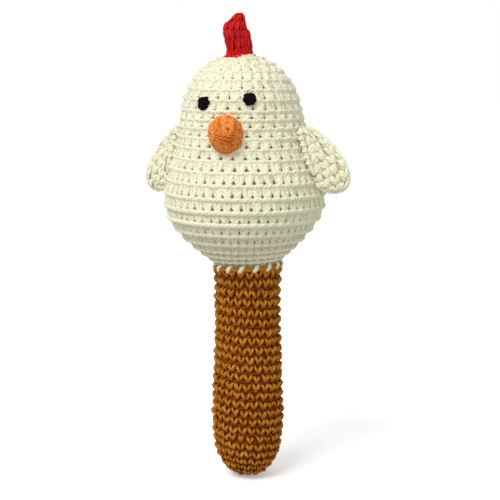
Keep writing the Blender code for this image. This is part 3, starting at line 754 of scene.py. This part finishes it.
beak = {
    "turn": 2.2,
    "height": 54.5,
    "tilt": 26.0,
    "stretch": (0.95, 1.05, 1.0),
    "outline": [(6.8, -3.2), (6.8, 1.85), (5.37, 5.18), (3.67, 7.07), (0.0, 7.4)],
    "rounds": [0.0, 2.4, 5.2, 8.2, 11.4, 14.9],
    "counts": [15, 15, 12, 8, 5],
    "phases": [0.0, 10.0, 4.0, 12.0, 0.0],
    "leg": [(0.08, -0.22, -0.95, 0.18, 0.42), (0.12, 0.0, -0.7, 0.25, 0.6), (0.165, 0.24, -0.58, 0.29, 0.62),
            (0.21, 0.48, -0.5, 0.31, 0.64), (0.24, 0.72, -0.48, 0.31, 0.64), (0.25, 0.94, -0.6, 0.29, 0.6),
            (0.255, 1.12, -0.98, 0.2, 0.42)],
    "holeSizes": [(0, 0.4)],
    # painted shade, darkest on the base round where the beak meets the face
    "shades": [(0, 0.55), (1, 0.35), (2, 0.12), (3, 0.0)],
    "flat": 0.6,
    "wobble": 1.1,
    "widest": 1.15,
    "pitch": 3.0,
    "top": 0.2,
    "deep": 2.2,
    "seed": 41,
    "coreDepth": 0.9,
    "rim": [(0.55, -0.55), (1.15, -0.55), (1.8, -0.55)],  # round and mm outwards of the strands along the rim
    "rimRadius": 0.66,
    "ribs": [(-5.0, -1.3, 2.2), (-2.0, -1.8, 4.4), (1.1, -1.9, 4.8), (4.2, -1.8, 3.5)],  # across, low and high end
    "ribLift": (-1.45, 1.15),  # mm over the dome at the ends, and more in the middle
    "ribRadius": 1.15,
    "lips": [(-3.2, 4.0), (-4.2, 3.4), (-5.1, 2.4)],  # height and half length of the strands under the mouth
    "lipShift": 1.2,
    "lipBend": (0.03, -0.1),
    "lipLift": -0.1,
    "lipRadius": 0.6,
    "sewing": [(5.7, 1.2, 0.0), (6.4, 0.7, 0.05), (6.65, 0.1, 0.1), (6.7, -0.9, 0.15)],  # radius, lift, slip
    "sewingCount": 15,
    "sewingRadius": 0.42,
}


def bodyRadius(height):
    return float(np.interp(height, bodyOutline["height"], bodyOutline["radius"]))


def onFace(azimuthDegrees, height, tiltDegrees):
    azimuth = math.radians(azimuthDegrees)
    radius = bodyRadius(height)
    spot = Matrix.Translation((radius * math.sin(azimuth), -radius * math.cos(azimuth), height))
    tilt = Matrix.Rotation(math.radians(90.0 - tiltDegrees), 4, "X")
    return bodyPlace @ spot @ Matrix.Rotation(azimuth, 4, "Z") @ tilt


def softCore(node, shrink, matrix, levels=0):
    # the stuffed shape under the stitches: a copy of the frame's solid, drawn in and rounded
    core = copyNode(node, "core")
    draw = core.modifiers.new("draw", "DISPLACE")
    draw.strength = -shrink * mm
    draw.mid_level = 0.0
    bpy.ops.object.modifier_apply(modifier="draw")
    if levels:
        soften = core.modifiers.new("soften", "SUBSURF")
        soften.levels = soften.render_levels = levels
        bpy.ops.object.modifier_apply(modifier="soften")
    verts, faces = takeMesh(core)
    # painted shade on the stuffed shape, which shows between the stitches
    verts, *rest = plainPart(verts / mm, faces, verts[:, 0] / mm, 0.8)
    return carry(verts, matrix), *rest


def beakStrands(outline):
    # the lobes above the mouth and the thin strands under it, laid over the dome
    dome = outline["height"] > beak["outline"][1][1]
    radii, heights = outline["radius"][dome][::-1], outline["height"][dome][::-1]

    def onDome(x, y, lift):
        radius = min(math.hypot(x, y), radii[-1])
        return x, y, float(np.interp(radius, radii, heights)) + lift

    sink, rise = beak["ribLift"]
    bend, slope = beak["lipBend"]
    ribs, lips = [], []
    for x, low, high in beak["ribs"]:
        ribs.append([onDome(x * (1.0 - 0.06 * share), low + (high - low) * share,
                            sink + rise * math.sin(math.pi * share) ** 0.5) for share in np.linspace(0.0, 1.0, 9)])
    for y, half in beak["lips"]:
        lips.append([onDome(x + beak["lipShift"], y + bend * x ** 2 + slope * x, beak["lipLift"])
                     for x in np.linspace(-half, half, 9)])
    # the strands under the mouth in painted shade
    return [yarnLines(ribs, beak["ribRadius"], sides=8), yarnLines(lips, beak["lipRadius"], depth=0.35)]


def facePoint(place, x, y, lift):
    # the point on the face straight under a place in the beak's frame, lifted off the stitches
    low, high = -9.0, 9.0
    back = bodyPlace.inverted() @ place
    for _ in range(24):
        middle = (low + high) / 2
        there = back @ Vector((x, y, middle))
        outside = math.hypot(there.x, there.y) > bodyRadius(there.z)
        low, high = (low, middle) if outside else (middle, high)
    return place @ Vector((x, y, high + lift))


def makeBeak():
    outline = measureOutline(smoothLine(beak["outline"], 12))
    share = outline["arc"][-1] / beak["rounds"][-1]
    levels = [arc * share for arc in beak["rounds"]]
    surface = turnedSurface(outline, levels, np.zeros(len(levels)), 0.0)
    place = onFace(beak["turn"], beak["height"], beak["tilt"]) @ Matrix.Diagonal((*beak["stretch"], 1.0))
    phases = [math.radians(phase) for phase in beak["phases"]]
    stitches = layStitches(*surface, beak["counts"], phases, beak)
    azimuth = np.linspace(-math.pi, math.pi, 41)
    rim = yarnLines([surface[0](azimuth, level, out) for level, out in beak["rim"]], beak["rimRadius"])
    core = softCore("beak_cover", beak["coreDepth"], place.inverted())
    cover = joinParts("beakCover", [stitches, rim, core] + beakStrands(outline), orangeYarn, place)
    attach(cover, "rattle")
    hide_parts("beak_cover")
    lines = []
    for number in range(beak["sewingCount"]):
        angle = math.tau * (number + 0.3) / beak["sewingCount"]
        lines.append([facePoint(place, ring * math.cos(angle + slip), ring * math.sin(angle + slip), lift)
                      for ring, lift, slip in beak["sewing"]])
    sewing = joinParts("beakSewing", [yarnLines(lines, beak["sewingRadius"])], orangeYarn, Matrix())
    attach(sewing, "rattle")
    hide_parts("beak_stitches")
    print("beak made")


makeBeak()

# eyes, each a knot of black yarn

eye = {
    "middle": 1.4,  # azimuth of the face, and how far each eye lies to its side
    "spread": 23.3,
    "height": {"left_eye": 67.5, "right_eye": 66.5},
    "radius": {"left_eye": 2.4, "right_eye": 2.6},
    "rise": 1.2,
    "roundness": 1.7,
    "sink": 0.2,
    "yarn": 0.7,
    "turn": 8.0,
    "crossing": [(-1.0, 82.0), (0.9, 97.0)],  # sideways shift and turn of each lower strand
    "wraps": [(-1.35, 8.0), (-0.45, -6.0), (0.5, 4.0), (1.4, -9.0)],
    "wrapLift": 0.45,
    "steps": (-1.0, -0.85, -0.45, 0.0, 0.45, 0.85, 1.0),
    "coreDepth": 0.15,
}


def eyeStrand(place, radius, shift, angle, rise):
    half = math.sqrt(max(radius ** 2 - shift ** 2, 0.5))
    line = []
    for step in eye["steps"]:
        along, up = step * half, rise * math.cos(step * eye["roundness"]) - eye["sink"]
        x = along * math.cos(angle) - shift * math.sin(angle)
        y = along * math.sin(angle) + shift * math.cos(angle)
        line.append(place @ Vector((x, y, up)))
    return line


def makeEyes():
    for side, name in ((1.0, "left_eye"), (-1.0, "right_eye")):
        height = eye["height"][name]
        index = np.searchsorted(bodyOutline["height"], height)
        slope = math.degrees(math.atan2(bodyOutline["outHeight"][index], bodyOutline["outRadius"][index]))
        place = onFace(eye["middle"] + side * eye["spread"], height, slope)
        lines = []
        for lift, strands in ((0.0, eye["crossing"]), (eye["wrapLift"], eye["wraps"])):
            for shift, turn in strands:
                angle = math.radians(turn * side + eye["turn"])
                lines.append(eyeStrand(place, eye["radius"][name], shift, angle, eye["rise"] + lift))
        parts = [yarnLines(lines, eye["yarn"]), softCore(name, eye["coreDepth"], Matrix())]
        knot = joinParts(name.replace("_e", "E"), parts, blackYarn, Matrix())
        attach(knot, "rattle")
        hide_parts(name)
    print("eyes made")


makeEyes()


# flat pieces

def flatSurface(piece, edges):
    # a flattened tube between two edges: share of the length from its top, inner and outer edge in mm
    share, inner, outer = (np.array(column, float) for column in zip(*edges))
    rounds = len(piece["counts"])

    def section(level):
        s = np.clip(1.0 - level / rounds, 0.0, 1.0)
        low, high = np.interp(s, share, inner), np.interp(s, share, outer)
        return s, (low + high) / 2, np.maximum((high - low) / 2, 0.15), readAt(s, piece["thickness"])

    def place(azimuth, level, out):
        s, middle, half, deep = section(level)
        angle = azimuth - 0.17 * np.sin(2 * azimuth)  # crowds the stitches less at the edges
        across, through = deep * np.sin(angle), half * np.cos(angle)
        size = np.maximum(np.hypot(across, through), 1e-6)
        out = np.maximum(out, -0.75 * np.minimum(half, deep))
        x = middle + half * np.sin(angle) + out * across / size
        y = -deep * np.cos(angle) - out * through / size
        lean = piece["slant"] * np.clip((1.0 - s) * 3.0, 0.0, 1.0) * (x - middle)
        droop = piece["sag"] * x ** 2 * np.clip((s - 0.55) / 0.45, 0.0, 1.0)
        for spot, depth, width in piece["dips"]:
            droop = droop + depth * np.exp(-((x - spot) / width) ** 2) * np.clip(1.0 - s / 0.35, 0.0, 1.0)
        return np.stack([x, y, (piece["topShare"] - s) * piece["length"] + lean - droop], -1)

    def reach(azimuth, level):
        s, middle, half, deep = section(level)
        return np.maximum((half + deep) / 2 * np.ones_like(azimuth), 0.9)

    return place, reach


def flatParts(piece, surface, number=0):
    # the stitches of a flat piece and the cloth behind them, in painted shade
    rounds, (depth, dark) = len(piece["counts"]), piece["lining"]
    phases = [math.radians(piece["drift"] * level + piece["firstTurn"]) for level in range(rounds)]
    tube = modelLeg(20, 14)
    azimuth = np.arctan2(tube["round"][:, 1], tube["round"][:, 0])
    verts = surface[0](azimuth, tube["ring"] / 13.0 * rounds, -depth)
    return (layStitches(*surface, piece["counts"], phases, piece, number),
            plainPart(verts, turnOut(verts, tube["faces"]), azimuth, dark))


def axesPlace(origin, outwards, along):
    x, z = Vector(outwards), Vector(along)
    place = Matrix((x, z.cross(x), z)).transposed().to_4x4()
    place.translation = Vector(origin)
    return place


# wings

wing = {
    "length": 28.6,
    "topShare": 0.077,
    "edges": [(0.0, -1.6, 1.4), (0.05, -1.6, 2.7), (0.08, -1.6, 3.4), (0.11, -1.6, 4.1), (0.17, -1.6, 5.2),
              (0.28, -1.6, 7.1), (0.41, -1.5, 8.9), (0.54, -1.2, 10.5), (0.65, -0.6, 11.75), (0.77, -0.1, 12.15),
              (0.85, 0.5, 12.0), (0.925, 1.5, 11.1), (0.97, 2.9, 9.4), (1.0, 4.8, 7.4)],
    "slimmer": {"left_wing": [(0.0, 0.0)],  # share of the length and mm off the outer edge
                "right_wing": [(0.15, 0.0), (0.3, 1.2), (0.41, 1.3), (0.54, 1.0), (0.7, 0.5), (1.0, 0.2)]},
    "thickness": [(0.0, 1.2), (0.08, 2.0), (0.3, 2.6), (0.7, 2.8), (0.88, 2.5), (0.96, 1.8), (1.0, 1.0)],
    "counts": [5, 7, 8, 8, 8, 7, 7, 6],
    "firstTurn": 20.0,
    "drift": 13.0,
    "slant": 0.3,
    "sag": 0.0,
    "dips": [],
    "leg": [(0.06, -0.2, -1.3, 0.18, 0.55), (0.095, 0.02, -0.85, 0.24, 0.8), (0.15, 0.24, -0.62, 0.275, 0.88),
            (0.21, 0.46, -0.5, 0.29, 0.9), (0.262, 0.68, -0.52, 0.29, 0.88), (0.298, 0.88, -0.8, 0.265, 0.76),
            (0.31, 1.05, -1.4, 0.2, 0.55)],
    "holeSizes": [(0, -0.7)],
    # painted shade: the whole flap a little darker than the same yarn elsewhere
    "shades": [(0, 0.16)],
    "flat": 0.75,
    "wobble": 2.6,
    "widest": 1.35,
    "pitch": 3.6,
    "top": 0.1,
    "deep": 3.4,
    "seed": 53,
    "coreDepth": 1.1,
    "lining": (1.15, 0.45),  # depth, and share of painted shade on the cloth behind the stitches
    "wrap": 5.2,  # how far the root is drawn round towards the toy's front
    "wrapWidth": 7.5,
    "bend": (-0.5, 4.5, -6.0),  # mm outwards of two points on the root, and their height, worked out into points but not used
    "rim": {"radius": 0.75, "out": -0.35},
    "seam": [(0.0, 4.9, 1.6), (-0.5, 6.1, -0.4), (-0.5, 6.5, -5.0), (-0.5, 6.5, -10.0), (-0.4, 6.1, -14.5),
             (0.0, 5.1, -17.0)],
    "seamRadius": 1.05,
    "sewing": [(-1.6, 6.6, 0.6), (-1.15, 7.3, 0.4), (-0.5, 7.4, 0.1), (0.05, 6.9, -0.2), (0.3, 6.0, -0.4)],
    "sewingRows": (6, 0.1, -2.5),  # how many, height of the first and step
    "sewingRadius": 0.58,
    "left_wing": {"origin": (24.742, -2.378, 142.542), "outwards": (0.94797, -0.08407, 0.30706),
                  "along": (-0.30622, 0.02299, 0.95168)},
    "right_wing": {"origin": (-29.177, 3.284, 141.268), "outwards": (-0.96818, 0.11752, 0.22095),
                   "along": (0.21866, -0.03225, 0.97527)},
}


def wrapRoot(part, front):
    # draws the root of a flap round the side of the body
    verts = part[0].copy()
    share = 1.0 - np.clip((verts[:, 0] + 0.5) / wing["wrapWidth"], 0.0, 1.0)
    verts[:, 0] -= 0.3 * share ** 2
    verts[:, 1] += front * wing["wrap"] * share ** 2
    return verts, *part[1:]


def makeWings():
    rounds = len(wing["counts"])
    number, first, step = wing["sewingRows"]
    for index, (name, front) in enumerate((("left_wing", -1.0), ("right_wing", 1.0))):
        edges = [(share, low, high - readAt(share, wing["slimmer"][name])) for share, low, high in wing["edges"]]
        surface = flatSurface(wing, edges)
        place = axesPlace(**wing[name])
        stitches, inside = flatParts(wing, surface, index)
        outer = surface[0](math.pi / 2, np.linspace(rounds - 0.2, 0.05, 24), wing["rim"]["out"])
        under = surface[0](-math.pi / 2, np.linspace(0.05, 2.2, 8), wing["rim"]["out"])
        rim = yarnLines([np.concatenate([outer, under])], wing["rim"]["radius"])
        core = softCore(name, wing["coreDepth"], place.inverted(), levels=1)
        seam = yarnLines([smoothLine([(x, front * y, z) for x, y, z in wing["seam"]], 5)], wing["seamRadius"])
        wrapped = [wrapRoot(part, front) for part in (stitches, rim, core, inside)]
        flap = joinParts(name.replace("_w", "W"), wrapped + [seam], creamYarn, place)
        start, end, height = wing["bend"]
        bend = ((start, front * wing["wrap"], height), (end, 0.0, height))
        root, free = (place @ Vector(spot) * mm for spot in bend)
        tuple(root)
        tuple(free)
        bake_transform(flap)
        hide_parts(name)
        lines = [[place @ Vector((x, front * y, row + z)) for x, y, z in wing["sewing"]]
                 for row in first + step * np.arange(number)]
        strands = yarnLines(lines, wing["sewingRadius"])
        sewing = joinParts(name.replace("_w", "W") + "Sewing", [strands], creamYarn, Matrix())
        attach(sewing, "rattle")
        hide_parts(name + "_stitches")
    print("wings made")


makeWings()

# comb

comb = {
    "length": 16.6,
    "topShare": 0.946,
    "edges": [(0.0, 0.6, 2.9), (0.025, -0.2, 3.6), (0.055, -1.4, 4.2), (0.1, -2.9, 4.9), (0.135, -4.3, 5.3),
              (0.16, -6.2, 5.5), (0.18, -7.4, 5.6), (0.21, -8.8, 5.7), (0.255, -9.8, 5.8), (0.3, -10.6, 6.0),
              (0.345, -11.1, 6.2), (0.38, -11.3, 7.2), (0.43, -11.5, 8.1), (0.49, -11.4, 8.8), (0.56, -10.9, 9.2),
              (0.63, -10.0, 9.6), (0.71, -9.1, 10.2), (0.78, -8.8, 10.5), (0.84, -8.9, 10.3), (0.9, -9.3, 10.4),
              (0.95, -9.6, 11.0), (1.0, -9.9, 11.5)],
    "dips": [(-4.6, 0.8, 1.7), (5.6, 0.8, 1.3)],  # place, depth and width of the dips
    "thickness": [(0.0, 1.2), (0.08, 2.0), (0.25, 2.7), (0.5, 3.1), (0.8, 3.1), (0.95, 3.0), (1.0, 2.8)],
    "counts": [15, 15, 15, 13, 9],
    "firstTurn": 0.0,
    "drift": 12.0,
    "leg": [(0.06, -0.3, -1.0, 0.15, 0.42), (0.095, -0.08, -0.72, 0.205, 0.6), (0.14, 0.16, -0.55, 0.235, 0.62),
            (0.19, 0.42, -0.5, 0.245, 0.64), (0.235, 0.68, -0.5, 0.25, 0.64), (0.262, 0.92, -0.6, 0.235, 0.58),
            (0.27, 1.14, -1.02, 0.17, 0.42)],
    "holeSizes": [(0, 0.8)],
    "flat": 0.8,
    "wobble": 1.5,
    "widest": 0.86,
    "slant": 0.0,
    "sag": 0.025,  # how the foot follows the dome of the head
    "pitch": 3.2,
    "top": 0.2,
    "deep": 1.8,
    "seed": 61,
    # depth, and share of painted shade on the cloth behind the stitches
    "lining": (0.95, 0.8),
    "bend": (-0.5, 4.0),  # two heights on its axis, worked out into points but not used
    "sewing": [(0.0, -3.4, -0.9), (0.2, -3.3, 0.2), (0.4, -2.6, 0.9), (0.5, 0.0, 1.1), (0.6, 2.6, 0.9),
               (0.8, 3.3, 0.2), (1.0, 3.4, -0.9)],  # one stitch over the foot
    "sewingRows": (8, -8.0, 2.3),  # how many, place of the first and step
    "sewingHeight": -0.7,
    "sewingRadius": 0.62,
    "place": {"origin": (-3.77, 0.491, 173.417), "outwards": (0.19061, 0.98163, 0.00866),
              "along": (-0.04536, 0.0, 0.99897)},
}


def makeComb():
    place = axesPlace(**comb["place"])
    crest = joinParts("combCrest", flatParts(comb, flatSurface(comb, comb["edges"])), redYarn, place)
    foot, free = (place @ Vector((0.0, 0.0, height)) * mm for height in comb["bend"])
    tuple(foot)
    tuple(free)
    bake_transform(crest)
    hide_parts("comb")
    number, first, step = comb["sewingRows"]
    lines = []
    for along in first + step * np.arange(number):
        low = comb["sewingHeight"] - comb["sag"] * along ** 2
        lines.append([place @ Vector((along + x, y, low + z)) for x, y, z in comb["sewing"]])
    sewing = joinParts("combSewing", [yarnLines(lines, comb["sewingRadius"])], redYarn, Matrix())
    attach(sewing, "rattle")
    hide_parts("comb_stitches")
    print("comb made")


makeComb()

# stuffing and the sound box, which the covers hide

wadding = {
    # name and voxel size
    "wads": {"handle_filling": ("handleStuffing", 1.7), "body_filling_lower": ("bodyStuffingLower", 1.7),
             "body_filling_upper": ("bodyStuffingUpper", 1.7), "beak_filling": ("beakStuffing", 0.7)},
    "lump": 0.45,
    "waves": [((0.9, 0.5, 0.3), 0.0), ((-0.4, 1.0, 0.6), 2.0), ((0.3, -0.6, 1.1), 4.0), ((1.3, 0.2, -0.9), 1.0)],
}


def makeFibre():
    material, nodes = newMaterial("looseFibre")
    place = addNode(nodes, "TexCoord").outputs["Object"]
    squeeze = addNode(nodes, "Mapping", {"Vector": place, "Scale": (1.0, 1.0, 0.25)}).outputs["Vector"]
    noise = addNode(nodes, "TexNoise", {"Vector": squeeze, "Scale": 900.0, "Detail": 5.0, "Distortion": 1.5})
    fuzz = noise.outputs["Fac"]
    colour = addRamp(nodes, fuzz, (0.3, 0.7), ((0.62, 0.62, 0.6), (0.92, 0.92, 0.9)))
    bumps = addNode(nodes, "Bump", {"Height": fuzz, "Distance": 0.4 * mm})
    feed(nodes["Principled BSDF"], {"Base Color": colour, "Roughness": 1.0, "Sheen Weight": 0.4,
                                    "Normal": bumps.outputs["Normal"]})
    return material


def makeWads():
    fibre = makeFibre()
    for node, (name, voxel) in wadding["wads"].items():
        wad = copyNode(node, name)
        wad.data.materials.clear()
        wad.data.materials.append(fibre)
        wad.data.remesh_voxel_size = voxel * mm
        bpy.ops.object.voxel_remesh()
        spots = np.array([vertex.co for vertex in wad.data.vertices])
        outs = np.array([vertex.normal for vertex in wad.data.vertices])
        waves = [np.sin(spots @ np.array(way) / mm + shift) for way, shift in wadding["waves"]]
        lump = wadding["lump"] * mm * (sum(waves) / 8.0 + 0.5)
        wad.data.vertices.foreach_set("co", (spots - outs * lump[:, None]).astype(np.float32).ravel())
        wad.data.update()
        wad.data.shade_smooth()
        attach(wad, "rattle")
        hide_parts(node)
    print("stuffing made")


makeWads()


def makePlastic(name, dark, light, roughness, scale):
    material, nodes = newMaterial(name)
    place = addNode(nodes, "TexCoord").outputs["Object"]
    cloud = addNode(nodes, "TexNoise", {"Vector": place, "Scale": scale, "Detail": 4.0}).outputs["Fac"]
    span = addNode(nodes, "MapRange", {"Value": cloud, "To Min": roughness - 0.06, "To Max": roughness + 0.08})
    feed(nodes["Principled BSDF"], {"Base Color": addRamp(nodes, cloud, (0.35, 0.65), (dark, light)),
                                    "Roughness": span.outputs["Result"]})
    return material


capsulePlastic = makePlastic("capsulePlastic", (0.74, 0.76, 0.78), (0.82, 0.84, 0.86), 0.32, 260.0)
beadPlastic = makePlastic("beadPlastic", (0.16, 0.3, 0.55), (0.22, 0.38, 0.64), 0.25, 700.0)
for name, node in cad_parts.items():
    if name.startswith("bead_") or name.startswith("rattle_"):
        node.data.materials.clear()
        node.data.materials.append(beadPlastic if name.startswith("bead_") else capsulePlastic)
print("sound box finished")
